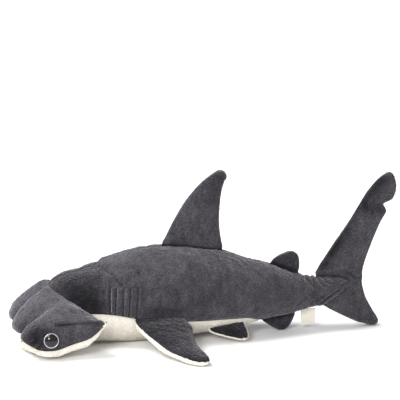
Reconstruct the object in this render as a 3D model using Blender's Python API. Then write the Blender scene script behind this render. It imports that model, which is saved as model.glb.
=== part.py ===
"""Plush hammerhead shark: sewn plush panels over fibre stuffing.

Every length below is in millimetres and every angle in degrees. The nose points to -X, the
shark's left side to -Y, and it lies on its belly on z = 0.
"""

import math

import bmesh
import bpy
from mathutils import Vector

MM = 0.001                      # metres in the script's own unit
GAP = 0.3                       # air between two pieces that touch on the real toy
FABRIC = 1.2                    # thickness of the plush fabric
SLACK = 0.7                     # the filling lies a little loose in its fabric
SKIN_TO_STUFFING = FABRIC + SLACK
WELD = 0.002                    # points closer than this are one point
FIN_EDGE = 1.0                  # half the thickness of a fin at its sewn edge
SHARP_ANGLE = 40.0              # faces meeting at more than this keep a crisp edge
ROUND_SIDES = 32                # sides of the guides that hollow out the neck and stalk pockets
EYE_SIDES = 16

# Neck and head joint
NECK_CENTRE = (-128.0, 0.0, 37.0)
NECK_RADIUS = 36.0
NECK_POCKET_RADIUS = 37.0

# Torso, as tables of (x, value): they start at the neck and end at the tail stalk
HALF_WIDTH = [(-128, 36), (-118, 34.2), (-105, 36.5), (-90, 40.5), (-60, 43), (-20, 42),
              (20, 37.5), (50, 30), (80, 22), (108, 15.2), (118, 14.5)]
BACK_HEIGHT = [(-128, 73), (-105, 81.5), (-78, 89.8), (-50, 93), (-16, 91.3), (16, 85.8),
               (42, 76), (66, 69.6), (93, 58.8), (118, 53)]
BELLY_HEIGHT = [(-128, 1), (-112, -1.3), (-60, -1.3), (-30, 1), (0, 3.6), (30, 7),
                (57, 13.2), (82, 17), (108, 22.6), (118, 24)]
SEAM_ANGLE = [(-164, -1), (-122, -3), (-96, -10), (-75, -19), (-50, -24), (-10, -26), (35, -33),
              (46, -42), (56, -84)]
SEAM_END = 56.0                 # where the two side seams meet under the body
BACK_COLUMNS = 6
BELLY_COLUMNS = 12
NECK_STATIONS = [-161.0, -155.0, -147.0, -138.0]     # the skin reaches under the head's fabric
BODY_SPANS = 11
STALK_SPANS = 4
STALK_START = SEAM_END + 2.0
STALK_END_STATIONS = [123.5, 128.0, 131.0]
TAIL_AXIS_X = 118.0
TAIL_END_RADIUS = 14.5
TAIL_END_DROOP = 3.0            # how far the stalk's rounded end draws in above and below
TAIL_POCKET_RADIUS = 15.2

# Head: a flattened box of fabric, wider than long, with the neck let into its rear
HEAD_HALF_WIDTH = 64.5
HEAD_FRONT = [(0, -191), (20, -195), (42, -190), (55, -189), (64.5, -180)]
HEAD_REAR = [(0, -141), (20, -137), (37, -127), (50, -115.5), (64.5, -108)]
HEAD_END_SEAM = [(0, 19), (0.25, 7.5), (0.5, 11), (0.75, 19), (1, 33)]
HEAD_MIDDLE_SEAM = [(0, 22), (1, 35)]
HEAD_TOP_RISE = (31.0, 38.0)    # above the seam, in the middle and at the ends
HEAD_BOTTOM_DROP = [(0, 34), (0.45, 34), (0.7, 16), (0.85, 9), (1, 6)]
HEAD_MIDDLE_DROP = 36.0
HEAD_TOP_SQUARENESS = (4.0, 2.2)        # across and along: the higher, the boxier
HEAD_BOTTOM_SQUARENESS = (6.0, 4.0)
HEAD_END_START, HEAD_END_FULL = 0.5, 0.85   # shares of the half width where the ends thin out
HEAD_COLUMNS = 14
HEAD_ROWS = 8

# Eyes: a black dome on a shank, a ring round it and a washer behind the fabric
EYE_CENTRE = (-161.0, -64.1, 19.0)
EYE_AXIS = (0.0, -1.0, 0.18)
EYE_RADIUS = 6.5
EYE_HEIGHT = 4.2
EYE_RIM = 0.7
EYE_TIP_RADIUS = 0.4
DOME_STEPS = 6
SHANK_RADIUS = 2.0
SHANK_LENGTH = 6.8
SHANK_CLEARANCE = 0.4
RING_RADIUS = 7.6
RING_HEIGHT = 1.4
RING_SHOULDER = 0.6             # share of the ring's height on its outer side
WASHER_RADIUS = 6.5
WASHER_DEPTH = 3.6              # how far behind the eye's rim the washer sits
WASHER_THICKNESS = 1.5
HOLE_START, HOLE_END = -9.0, 4.0        # the hole for the shank, along the eye's axis
WASHER_ROOM_DEPTH = SHANK_LENGTH + 2.0

# Fins: each lies between a front edge and a rear edge, both given from root to tip. The first
# panel is the left or upper one. depth is the filling's half thickness at the fin's fullest.
FINS = {
    "dorsal_fin": {
        "front": [(-43, 0, 95.6), (-32.4, 0, 117.6), (-19.3, 0, 138.5), (-5.2, 0, 154.4),
                  (12, 0, 166)],
        "rear": [(16.5, 0, 88.2), (13.2, 0, 109), (13.2, 0, 129), (16, 0, 149), (20.5, 0, 163)],
        "depth": 6.0, "grid": (6, 7),
        "panels": (("left_panel", "plush_dark"), ("right_panel", "plush_dark"))},
    "second_dorsal_fin": {
        "front": [(66, 0, 71.6), (72, 0, 77), (82, 0, 80.8)],
        "rear": [(95, 0, 60.6), (95.4, 0, 71), (92, 0, 79.5)],
        "depth": 3.4, "grid": (5, 4),
        "panels": (("left_panel", "plush_dark"), ("right_panel", "plush_dark"))},
    "anal_fin": {
        "front": [(58, 0, 11.4), (65, 0, 5.5), (74, 0, 1.2)],
        "rear": [(92, 0, 16.9), (89, 0, 9), (84.5, 0, 1.6)],
        "depth": 3.0, "grid": (5, 4),
        "panels": (("left_panel", "plush_dark"), ("right_panel", "plush_dark"))},
    "tail_fin": {
        "front": [(172, 0, 1.0), (154, 0, 6), (136, 0, 15.5), (121, 0, 24), (116, 0, 41),
                  (114.5, 0, 57), (124.6, 0, 76), (145.6, 0, 107.8), (159.4, 0, 130.8),
                  (173.3, 0, 150.3), (186, 0, 159)],
        "rear": [(178, 0, 3.5), (172, 0, 18), (166, 0, 29), (162, 0, 42), (161.2, 0, 52),
                 (162, 0, 64), (168.7, 0, 85), (178, 0, 107), (183, 0, 122), (194.6, 0, 136),
                 (192, 0, 155)],
        "depth": 5.5, "grid": (6, 16),
        "panels": (("left_panel", "plush_dark"), ("right_panel", "plush_dark"))},
    "pectoral_fin_left": {
        "front": [(-75.5, -41.8, 29.5), (-62, -60, 19.5), (-51, -79, 13.5), (-40, -94, 9.5),
                  (-22, -105, 5)],
        "rear": [(-26, -40.8, 25.8), (-22.5, -55, 21), (-22, -70, 16.5), (-20.5, -86, 11.5),
                 (-15, -101, 5.5)],
        "depth": 6.5, "grid": (6, 6),
        "panels": (("top_panel", "plush_dark"), ("bottom_panel", "plush_white"))},
    "pelvic_fin_left": {
        "front": [(0, -28.4, 10.5), (12, -33, 7.5), (27, -38, 4.5)],
        "rear": [(35, -24.2, 14.6), (36, -31, 10), (35, -37, 5)],
        "depth": 2.8, "grid": (5, 4),
        "panels": (("top_panel", "plush_dark"), ("bottom_panel", "plush_white"))},
}
FULLNESS = [(0, 0.1), (0.3, 1), (0.65, 0.8), (1, 0.15)]
TAIL_FULLNESS = [(0, 0.3), (0.35, 1), (0.7, 0.8), (1, 0.25)]
TAIL_BULGE_CENTRE = (118.0, 39.0)       # x and z of the stalk's end, which the tail carries on
TAIL_BULGE_SIZE = (31.0, 14.5)
TAIL_BULGE_DEPTH = 11.5
TAIL_POCKET = (22.4, 55.2)              # lowest and highest z of the hollow round the stalk

# Care label, hanging from the seam under the stalk
LABEL_CENTRE_X = 105.5
LABEL_TOP = 19.6
LABEL_SIZE = (15.0, 15.0)
LABEL_THICKNESS = 0.8
LABEL_TURN_STEPS = 6

# Gill tucks: the stitch line of each is (x at its top, x at its bottom, bottom height)
GILLS = [(-100, -101, 37), (-94, -96, 35.5), (-87, -89, 34), (-80.5, -83, 33), (-73, -76, 31.5)]
GILL_TOP = 63.0
THREAD_RADIUS = 0.3
THREAD_STAND_OFF = 0.7
THREAD_SIDES = 5
THREAD_SPANS = 3

SLOTS = {
    "plush_dark": ((0.055, 0.056, 0.068, 1), 0.95, 0.0),
    "plush_white": ((0.86, 0.83, 0.77, 1), 0.95, 0.0),
    "stuffing": ((0.93, 0.93, 0.91, 1), 1.0, 0.0),
    "eye_black": ((0.006, 0.006, 0.007, 1), 0.08, 0.0),
    "eye_ring": ((0.72, 0.72, 0.74, 1), 0.25, 0.6),
    "washer": ((0.85, 0.85, 0.83, 1), 0.5, 0.0),
    "label": ((0.85, 0.80, 0.72, 1), 0.8, 0.0),
    "thread": ((0.03, 0.03, 0.035, 1), 0.8, 0.0),
}


def clear_scene():
    for item in list(bpy.data.objects):
        bpy.data.objects.remove(item, do_unlink=True)


def material(slot):
    if slot in bpy.data.materials:
        return bpy.data.materials[slot]
    colour, roughness, metallic = SLOTS[slot]
    made = bpy.data.materials.new(slot)
    made.use_nodes = True
    shader = made.node_tree.nodes["Principled BSDF"]
    shader.inputs["Base Color"].default_value = colour
    shader.inputs["Roughness"].default_value = roughness
    shader.inputs["Metallic"].default_value = metallic
    return made


def smooth(points, t):
    """Point at t (0 to 1) of a smooth curve through evenly timed points."""
    spans = len(points) - 1
    at = min(max(t, 0.0), 1.0) * spans
    i = min(int(at), spans - 1)
    f = at - i
    p1, p2 = Vector(points[i]), Vector(points[i + 1])
    p0 = Vector(points[i - 1]) if i > 0 else 2 * p1 - p2
    p3 = Vector(points[i + 2]) if i + 2 <= spans else 2 * p2 - p1
    return 0.5 * (2 * p1 + (p2 - p0) * f + (2 * p0 - 5 * p1 + 4 * p2 - p3) * f * f
                  + (3 * p1 - p0 - 3 * p2 + p3) * f ** 3)


def table(rows, x):
    """Value at x of a smooth curve through (x, value) rows, held level past its ends."""
    x = min(max(x, rows[0][0]), rows[-1][0])
    i = next(k for k in range(len(rows) - 1) if x <= rows[k + 1][0])
    (x1, y1), (x2, y2) = rows[i], rows[i + 1]
    whole = (y2 - y1) / (x2 - x1)
    before = (y2 - rows[i - 1][1]) / (x2 - rows[i - 1][0]) if i > 0 else whole
    after = (rows[i + 2][1] - y1) / (rows[i + 2][0] - x1) if i + 2 < len(rows) else whole
    f = (x - x1) / (x2 - x1)
    hermite = (2 * f ** 3 - 3 * f * f + 1, f ** 3 - 2 * f * f + f, 3 * f * f - 2 * f ** 3,
               f ** 3 - f * f)
    return (hermite[0] * y1 + hermite[1] * before * (x2 - x1)
            + hermite[2] * y2 + hermite[3] * after * (x2 - x1))


def mirrored(points):
    return [(x, -y, z) for x, y, z in points]


def add_solid(name, points, faces, slot, pivot=(0, 0, 0)):
    """One closed body whose origin is at pivot, with its faces turned outward."""
    build = bmesh.new()
    corners = [build.verts.new((Vector(p) - Vector(pivot)) * MM) for p in points]
    for face in faces:
        build.faces.new([corners[i] for i in face])
    bmesh.ops.remove_doubles(build, verts=build.verts, dist=WELD * MM)
    bmesh.ops.recalc_face_normals(build, faces=build.faces)
    mesh = bpy.data.meshes.new(name)
    build.to_mesh(mesh)
    build.free()
    mesh.shade_smooth()
    mesh.set_sharp_from_angle(angle=math.radians(SHARP_ANGLE))
    mesh.materials.append(material(slot))
    made = bpy.data.objects.new(name, mesh)
    made.location = Vector(pivot) * MM
    bpy.context.collection.objects.link(made)
    return made


def sheet_faces(columns, rows, start, flip):
    """Triangles of a grid of points numbered row by row from start."""
    faces = []
    for j in range(rows):
        for i in range(columns):
            a = start + j * (columns + 1) + i
            b, c, d = a + 1, a + columns + 2, a + columns + 1
            faces += [(c, b, a), (d, c, a)] if flip else [(a, b, c), (a, c, d)]
    return faces


def between(name, outer, inner, columns, rows, slot, pivot=(0, 0, 0)):
    """Solid between two sheets, each a grid [row][column] of points."""
    points = [p for row in outer for p in row] + [p for row in inner for p in row]
    half = (columns + 1) * (rows + 1)
    faces = sheet_faces(columns, rows, 0, False) + sheet_faces(columns, rows, half, True)
    rim = list(range(columns))
    rim += [columns + j * (columns + 1) for j in range(rows)]
    rim += [half - 1 - i for i in range(columns)]
    rim += [(rows - j) * (columns + 1) for j in range(rows)]
    for a, b in zip(rim, rim[1:] + rim[:1]):
        faces += [(a, a + half, b), (b, a + half, b + half)]
    return add_solid(name, points, faces, slot, pivot)


def turned(name, profile, centre, axis, sides, slot, pivot=(0, 0, 0), closed=False):
    """Solid of revolution; profile is (radius, distance along the axis) from end to end."""
    turn = Vector(axis).normalized().to_track_quat("Z", "Y")
    points = []
    for radius, along in profile:
        for k in range(sides):
            angle = 2 * math.pi * k / sides
            ring = Vector((radius * math.cos(angle), radius * math.sin(angle), along))
            points.append(Vector(centre) + turn @ ring)
    rings = len(profile)
    faces = []
    for j in range(rings if closed else rings - 1):
        for k in range(sides):
            a, b = j * sides + k, j * sides + (k + 1) % sides
            c, d = (a + sides) % (rings * sides), (b + sides) % (rings * sides)
            faces.append((a, b, d, c))
    if not closed:
        faces.append(tuple(range(sides)))
        faces.append(tuple(range((rings - 1) * sides, rings * sides)))
    return add_solid(name, points, faces, slot, pivot)


def loft(name, rings, slot):
    """Solid through rings of equally many points, with a flat cap at each end."""
    count = len(rings[0])
    points = [p for ring in rings for p in ring]
    faces = []
    for j in range(len(rings) - 1):
        for k in range(count):
            a, b = j * count + k, j * count + (k + 1) % count
            c, d = b + count, a + count
            faces += [(a, b, c), (a, c, d)]
    for ring, start in ((rings[0], 0), (rings[-1], (len(rings) - 1) * count)):
        middle = sum((Vector(p) for p in ring), Vector()) / count
        points.append(tuple(middle))
        hub = len(points) - 1
        faces += [(start + k, start + (k + 1) % count, hub) for k in range(count)]
    return add_solid(name, points, faces, slot)


def rod(name, path, radius, sides, slot):
    """Round rod along a path."""
    rings = []
    for k, point in enumerate(path):
        ahead = Vector(path[min(k + 1, len(path) - 1)]) - Vector(path[max(k - 1, 0)])
        turn = ahead.to_track_quat("Z", "X")
        angles = [2 * math.pi * i / sides for i in range(sides)]
        rings.append([Vector(point) + turn @ Vector((radius * math.cos(a), radius * math.sin(a), 0))
                      for a in angles])
    return loft(name, rings, slot)


def cut(target, cutter):
    """Take a hidden guide's volume out of a solid."""
    cutter.hide_render = True
    cutter.display_type = "WIRE"
    modifier = target.modifiers.new("cut_" + cutter.name, "BOOLEAN")
    modifier.operation = "DIFFERENCE"
    modifier.object = cutter


def sphere_cutter(name, centre, radius):
    steps = ROUND_SIDES // 2
    arc = [math.pi * k / steps for k in range(1, steps)]
    profile = [(radius * math.sin(a), -radius * math.cos(a)) for a in arc]
    return turned(name, profile, centre, (0, 0, 1), ROUND_SIDES, "stuffing")


# ---------------------------------------------------------------- torso

def section(x):
    """Half width, back height, belly height and side height of the torso at x."""
    if x < NECK_CENTRE[0]:
        radius = math.sqrt(max(NECK_RADIUS ** 2 - (x - NECK_CENTRE[0]) ** 2, 0.01))
        return radius, NECK_CENTRE[2] + radius, NECK_CENTRE[2] - radius, NECK_CENTRE[2]
    width = table(HALF_WIDTH, x)
    top = table(BACK_HEIGHT, x)
    bottom = table(BELLY_HEIGHT, x)
    if x > TAIL_AXIS_X:
        width = math.sqrt(max(TAIL_END_RADIUS ** 2 - (x - TAIL_AXIS_X) ** 2, 0.01))
        droop = TAIL_END_DROOP * (1 - width / TAIL_END_RADIUS)
        top, bottom = top - droop, bottom + droop
    return width, top, bottom, (top + bottom) / 2


def torso_point(x, degrees, inset=0.0):
    """Point of the torso at x: 0 degrees is the left side, 90 the back, -90 the belly."""
    width, top, bottom, side = section(x)
    angle = math.radians(degrees)
    y = -(width - inset) * math.cos(angle)
    z = side + (top - side - inset) * math.sin(angle)
    return (x, y, max(z, inset))


def stations(start, end, count):
    return [start + (end - start) * k / count for k in range(count + 1)]


def torso_stations():
    body = stations(NECK_CENTRE[0], SEAM_END, BODY_SPANS)
    stalk = stations(STALK_START, TAIL_AXIS_X, STALK_SPANS)
    return NECK_STATIONS + body + stalk + STALK_END_STATIONS


def seam_angle(x):
    return table(SEAM_ANGLE, x) if x <= SEAM_END else -90.0


def panel_sheets(low_to_high, along):
    """Outer and inner sheets of a panel whose angles at x come from low_to_high(x, trim)."""
    outer, inner = [], []
    for x in along:
        trim = math.degrees(0.5 * GAP / max(section(x)[0] - FABRIC, 2.0))
        angles = low_to_high(x, trim)
        outer.append([torso_point(x, a) for a in angles])
        inner.append([torso_point(x, a, FABRIC) for a in angles])
    return outer, inner


def back_panels():
    """Dark panels of both sides, from the side seams up to the seam along the back."""
    along = torso_stations()
    outer, inner = panel_sheets(
        lambda x, trim: stations(seam_angle(x) + trim, 90.0 - trim, BACK_COLUMNS), along)
    grid = (BACK_COLUMNS, len(along) - 1)
    between("back_panel_left", outer, inner, *grid, "plush_dark")
    between("back_panel_right", [mirrored(row) for row in outer],
            [mirrored(row) for row in inner], *grid, "plush_dark")


def belly_panel():
    """White panel under the body, between the two side seams."""
    along = [x for x in torso_stations() if x <= SEAM_END]
    outer, inner = panel_sheets(
        lambda x, trim: stations(seam_angle(x) - trim, -180.0 - seam_angle(x) + trim,
                                 BELLY_COLUMNS), along)
    between("belly_panel", outer, inner, BELLY_COLUMNS, len(along) - 1, "plush_white")


def torso_stuffing():
    """Fibre filling of the body, one wad from the neck to the stalk."""
    rings = []
    for x in torso_stations():
        low = seam_angle(x)
        left = stations(low, 90.0, BACK_COLUMNS)
        right = [180.0 - a for a in reversed(left)]
        under = stations(-180.0 - low, low, BELLY_COLUMNS)
        angles = left[:-1] + right[:-1] + under[:-1]
        rings.append([torso_point(x, a, SKIN_TO_STUFFING) for a in angles])
    loft("torso_stuffing", rings, "stuffing")


def height_angle(x, z):
    """Angle at which the torso's side reaches the height z."""
    _, top, _, side = section(x)
    return math.degrees(math.asin((z - side) / (top - side)))


def gill_stitches():
    """The threads that hold five short tucks on each side, each lying on the back panel."""
    offset = -(THREAD_STAND_OFF + THREAD_RADIUS)
    for number, (x_top, x_bottom, low) in enumerate(GILLS, start=1):
        path = []
        for f in stations(0.0, 1.0, THREAD_SPANS):
            x = x_top + (x_bottom - x_top) * f
            z = GILL_TOP + (low - GILL_TOP) * f
            path.append(torso_point(x, height_angle(x, z), offset))
        rod("gill_stitch_left_%d" % number, path, THREAD_RADIUS, THREAD_SIDES, "thread")
        rod("gill_stitch_right_%d" % number, mirrored(path), THREAD_RADIUS, THREAD_SIDES,
            "thread")


# ---------------------------------------------------------------- head

def crown(t, power):
    """1 in the middle of a span (t = 0.5), falling to 0 at both of its ends."""
    return math.sqrt(max(1 - abs(2 * t - 1) ** power, 0.0))


def ease(low, high, t):
    """0 below low, 1 above high, smooth between."""
    f = min(max((t - low) / (high - low), 0.0), 1.0)
    return f * f * (3 - 2 * f)


def head_point(u, v):
    """Seam-level point of the head and its heights above and below: u left to right, v back."""
    out = abs(2 * u - 1)
    y = HEAD_HALF_WIDTH * (2 * u - 1)
    front, rear = table(HEAD_FRONT, abs(y)), table(HEAD_REAR, abs(y))
    middle, end = table(HEAD_MIDDLE_SEAM, v), table(HEAD_END_SEAM, v)
    seam = end + (middle - end) * (1 - out * out)
    rise = HEAD_TOP_RISE[0] + (HEAD_TOP_RISE[1] - HEAD_TOP_RISE[0]) * out * out
    drop = HEAD_MIDDLE_DROP
    drop += (table(HEAD_BOTTOM_DROP, v) - drop) * ease(HEAD_END_START, HEAD_END_FULL, out)
    across, along = HEAD_TOP_SQUARENESS
    above = FIN_EDGE + rise * crown(u, across) * crown(v, along)
    across, along = HEAD_BOTTOM_SQUARENESS
    below = FIN_EDGE + drop * crown(u, across) * crown(v, along)
    return front + (rear - front) * v, y, seam, above, below


def head_sheet(shift):
    """Sheets of the head over its grid; shift(seam, above, below) gives the height."""
    us = [0.5 - 0.5 * math.cos(math.pi * k / HEAD_COLUMNS) for k in range(HEAD_COLUMNS + 1)]
    vs = [0.5 - 0.5 * math.cos(math.pi * k / HEAD_ROWS) for k in range(HEAD_ROWS + 1)]
    rows = []
    for v in vs:
        row = []
        for u in us:
            x, y, seam, above, below = head_point(u, v)
            row.append((x, y, shift(seam, above, below)))
        rows.append(row)
    return rows


def inner_part(rows):
    """A sheet without its outermost points."""
    return [row[1:-1] for row in rows[1:-1]]


def head():
    pivot = NECK_CENTRE
    half_gap = 0.5 * GAP
    grid = (HEAD_COLUMNS, HEAD_ROWS)
    top = between(
        "head_top_panel",
        head_sheet(lambda seam, above, below: seam + above),
        head_sheet(lambda seam, above, below: seam + max(above - FABRIC, half_gap)),
        *grid, "plush_dark", pivot)
    bottom = between(
        "head_bottom_panel",
        head_sheet(lambda seam, above, below: max(seam - below, 0.0)),
        head_sheet(lambda seam, above, below: max(seam - max(below - FABRIC, half_gap), FABRIC)),
        *grid, "plush_white", pivot)
    stuffing = between(
        "head_stuffing",
        inner_part(head_sheet(lambda seam, above, below: seam + above - SKIN_TO_STUFFING)),
        inner_part(head_sheet(
            lambda seam, above, below: max(seam - max(below - SKIN_TO_STUFFING, half_gap),
                                           SKIN_TO_STUFFING))),
        HEAD_COLUMNS - 2, HEAD_ROWS - 2, "stuffing", pivot)
    pocket = sphere_cutter("neck_pocket", NECK_CENTRE, NECK_POCKET_RADIUS)
    for piece in (top, bottom, stuffing):
        cut(piece, pocket)
    for side, flip in (("left", 1), ("right", -1)):
        eye(side, flip, top, stuffing, pivot)


def eye(side, flip, fabric, stuffing, pivot):
    """Black dome, the ring round it and the washer that locks its shank behind the fabric."""
    centre = (EYE_CENTRE[0], flip * EYE_CENTRE[1], EYE_CENTRE[2])
    axis = (EYE_AXIS[0], flip * EYE_AXIS[1], EYE_AXIS[2])
    steps = [math.pi / 2 * k / DOME_STEPS for k in range(DOME_STEPS)]
    dome = [(EYE_RADIUS * math.cos(a), EYE_RIM + (EYE_HEIGHT - EYE_RIM) * math.sin(a))
            for a in steps]
    shank = [(SHANK_RADIUS, -SHANK_LENGTH), (SHANK_RADIUS, 0.0), (EYE_RADIUS, 0.0)]
    turned("eye_" + side, shank + dome + [(EYE_TIP_RADIUS, EYE_HEIGHT)], centre, axis, EYE_SIDES,
           "eye_black", pivot)
    ring_inner = EYE_RADIUS + GAP
    ring = [(ring_inner, 0.0), (RING_RADIUS, 0.0), (RING_RADIUS, RING_SHOULDER * RING_HEIGHT),
            (ring_inner, RING_HEIGHT)]
    turned("eye_ring_" + side, ring, centre, axis, EYE_SIDES, "eye_ring", pivot, closed=True)
    bore = SHANK_RADIUS + 0.5 * GAP
    back = -WASHER_DEPTH - WASHER_THICKNESS
    washer = [(bore, back), (WASHER_RADIUS, back), (WASHER_RADIUS, -WASHER_DEPTH),
              (bore, -WASHER_DEPTH)]
    turned("eye_washer_" + side, washer, centre, axis, EYE_SIDES, "washer", pivot, closed=True)
    hole = SHANK_RADIUS + SHANK_CLEARANCE
    cut(fabric, turned("shank_hole_" + side, [(hole, HOLE_START), (hole, HOLE_END)], centre,
                       axis, EYE_SIDES, "stuffing"))
    room = WASHER_RADIUS + 2 * GAP
    cut(stuffing, turned("washer_room_" + side, [(room, -WASHER_ROOM_DEPTH), (room, HOLE_END)],
                         centre, axis, EYE_SIDES, "stuffing"))


# ---------------------------------------------------------------- fins

def tail_bulge(x, z):
    """Half thickness of the tail where it carries on the round stalk."""
    along = (x - TAIL_BULGE_CENTRE[0]) / TAIL_BULGE_SIZE[0]
    across = (z - TAIL_BULGE_CENTRE[1]) / TAIL_BULGE_SIZE[1]
    return TAIL_BULGE_DEPTH * math.sqrt(max(1 - along * along - across * across, 0.0))


def fin_normal(front, rear):
    """Unit vector from the fin's middle plane to its left or upper panel."""
    across = Vector(rear[0]) - Vector(front[-1])
    along = Vector(rear[-1]) - Vector(front[0])
    normal = across.cross(along).normalized()
    upward = normal.z if abs(normal.z) > 0.1 else -normal.y
    return normal if upward > 0 else -normal


def fin_sheets(spec, fullness, bulge, offset):
    """Sheet at offset(half thickness) from the fin's middle, over its grid."""
    columns, rows = spec["grid"]
    normal = fin_normal(spec["front"], spec["rear"])
    sheet = []
    for v in stations(0.0, 1.0, rows):
        front, rear = smooth(spec["front"], v), smooth(spec["rear"], v)
        row = []
        for k in range(columns + 1):
            u = 0.5 - 0.5 * math.cos(math.pi * k / columns)
            middle = front.lerp(rear, u)
            half = FIN_EDGE + spec["depth"] * table(fullness, v) * crown(u, 2)
            if bulge:
                half = max(half, bulge(middle.x, middle.z))
            point = middle + normal * offset(half)
            row.append((point.x, point.y, max(point.z, 0.0)))
        sheet.append(row)
    return sheet


def fin(name, spec, fullness=FULLNESS, bulge=None):
    """Two sewn panels and the filling between them; the origin is on the fin's root."""
    columns, rows = spec["grid"]
    pivot = tuple((Vector(spec["front"][0]) + Vector(spec["rear"][0])) / 2)
    if bulge:
        pivot = (TAIL_AXIS_X, 0.0, TAIL_BULGE_CENTRE[1])
    half_gap = 0.5 * GAP
    pieces = []
    for sign, (label, slot) in zip((1, -1), spec["panels"]):
        outer = fin_sheets(spec, fullness, bulge, lambda half: sign * half)
        inner = fin_sheets(spec, fullness, bulge,
                           lambda half: sign * max(half - FABRIC, half_gap))
        pieces.append(between("%s_%s" % (name, label), outer, inner, columns, rows, slot, pivot))
    faces = [inner_part(fin_sheets(spec, fullness, bulge,
                                   lambda half: sign * max(half - SKIN_TO_STUFFING, half_gap)))
             for sign in (1, -1)]
    pieces.append(between(name + "_stuffing", faces[0], faces[1], columns - 2, rows - 2,
                          "stuffing", pivot))
    return pieces


def opposite(spec):
    """The same fin on the shark's right side."""
    twin = dict(spec)
    twin["front"], twin["rear"] = mirrored(spec["front"]), mirrored(spec["rear"])
    return twin


def fins():
    for name in ("dorsal_fin", "second_dorsal_fin", "anal_fin"):
        fin(name, FINS[name])
    for name in ("pectoral_fin", "pelvic_fin"):
        spec = FINS[name + "_left"]
        fin(name + "_left", spec)
        fin(name + "_right", opposite(spec))
    low, high = TAIL_POCKET
    pocket = turned("tail_pocket", [(TAIL_POCKET_RADIUS, low), (TAIL_POCKET_RADIUS, high)],
                    (TAIL_AXIS_X, 0, 0), (0, 0, 1), ROUND_SIDES, "stuffing")
    for piece in fin("tail_fin", FINS["tail_fin"], TAIL_FULLNESS, tail_bulge):
        cut(piece, pocket)


def care_label():
    """Blank ribbon folded once at its lower edge and hanging from its sewn top edge."""
    half_width, height = LABEL_SIZE[0] / 2, LABEL_SIZE[1]
    layer = (LABEL_THICKNESS - GAP) / 2
    bend = GAP / 2
    low = LABEL_TOP - height + LABEL_THICKNESS / 2
    turn = [-math.pi * k / LABEL_TURN_STEPS for k in range(LABEL_TURN_STEPS + 1)]
    sheets = []
    for radius in (bend + layer, bend):
        path = [(radius, LABEL_TOP)] + [(radius * math.cos(a), low + radius * math.sin(a))
                                        for a in turn] + [(-radius, LABEL_TOP)]
        sheets.append([[(LABEL_CENTRE_X - half_width, y, z), (LABEL_CENTRE_X + half_width, y, z)]
                       for y, z in path])
    between("care_label", sheets[0], sheets[1], 1, len(sheets[0]) - 1, "label",
            (LABEL_CENTRE_X, 0.0, LABEL_TOP))


clear_scene()
back_panels()
belly_panel()
torso_stuffing()
gill_stitches()
head()
fins()
care_label()
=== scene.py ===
"""Looks of the plush hammerhead shark: sewn plush panels, safety eyes, gill tucks and care label.

Lengths in the tables are millimetres in the frame's own axes: nose to -X, left side to -Y, z = 0
the surface that the toy lies on. Every fabric panel is a closed shell of its own, and
neighbouring panels share the curve of the seam between them.
"""

import math

import bpy
import numpy as np
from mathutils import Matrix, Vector, noise


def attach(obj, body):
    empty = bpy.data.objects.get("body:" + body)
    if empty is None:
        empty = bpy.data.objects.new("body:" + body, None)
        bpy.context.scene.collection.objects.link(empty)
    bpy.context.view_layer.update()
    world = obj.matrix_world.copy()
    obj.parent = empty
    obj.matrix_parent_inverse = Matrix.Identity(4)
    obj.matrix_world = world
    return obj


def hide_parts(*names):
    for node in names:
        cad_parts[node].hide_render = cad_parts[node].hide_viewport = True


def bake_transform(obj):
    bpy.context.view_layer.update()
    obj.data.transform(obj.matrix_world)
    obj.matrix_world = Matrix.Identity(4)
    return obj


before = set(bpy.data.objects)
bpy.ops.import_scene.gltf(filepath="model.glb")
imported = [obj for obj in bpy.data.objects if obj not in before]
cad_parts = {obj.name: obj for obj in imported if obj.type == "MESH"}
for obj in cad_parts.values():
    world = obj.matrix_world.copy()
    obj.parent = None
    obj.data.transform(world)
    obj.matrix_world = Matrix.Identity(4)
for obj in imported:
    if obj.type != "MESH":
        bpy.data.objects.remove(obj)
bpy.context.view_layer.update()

MM = 0.001
PILE = 1.0                      # how far the pile stands over a seam
SEAM_REACH = 2.4                # the pile rises to its height this far from a seam
FABRIC = 2.0                    # pile and backing together
BACKING_SHADE = 0.6             # the inner side of the fabric, against 1 for clean pile
SHADE_LIMITS = (0.12, 1.8)

# ---------------------------------------------------------------- shape tables

NECK_CENTRE = (-128.0, 0.0, 37.0)
NECK_RADIUS = 36.0
TORSO_START, TORSO_END = -158.0, 149.6
SEAM_END = 56.0                 # where the two side seams meet under the body
HALF_WIDTH = [(-128, 36), (-118, 35.4), (-105, 37), (-90, 40.5), (-60, 43), (-20, 42),
              (20, 37.5), (50, 30), (80, 22), (108, 15.4), (118, 14.4), (130, 13.8), (140, 12),
              (146, 9), (149.6, 2)]
BACK_HEIGHT = [(-128, 73), (-105, 81.5), (-78, 89.8), (-50, 93), (-16, 91.3), (16, 85.8),
               (42, 76), (66, 69.6), (93, 58.8), (112, 54), (130, 55.5), (139, 54), (145.5, 50.5),
               (149.6, 46)]
BELLY_HEIGHT = [(-128, 1), (-112, -1.3), (-60, -1.3), (-30, 1), (0, 3.6), (30, 7), (57, 13.2),
                (82, 17), (108, 22.6), (120, 24.6), (131, 31.5), (141, 39), (146, 42.5),
                (149.6, 44.6)]
SEAM_ANGLE = [(-164, -1), (-122, -3), (-96, -10), (-75, -19), (-50, -27), (-10, -34), (35, -40),
              (46, -53), (56, -84)]

# Gill tucks: (x at the top, x at the bottom, height of the bottom)
GILLS = [(-100, -101, 36), (-94, -96, 34.5), (-87, -89, 33), (-80.5, -83, 32), (-73, -76, 30.5)]
GILL_TOP = 61.5

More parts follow.
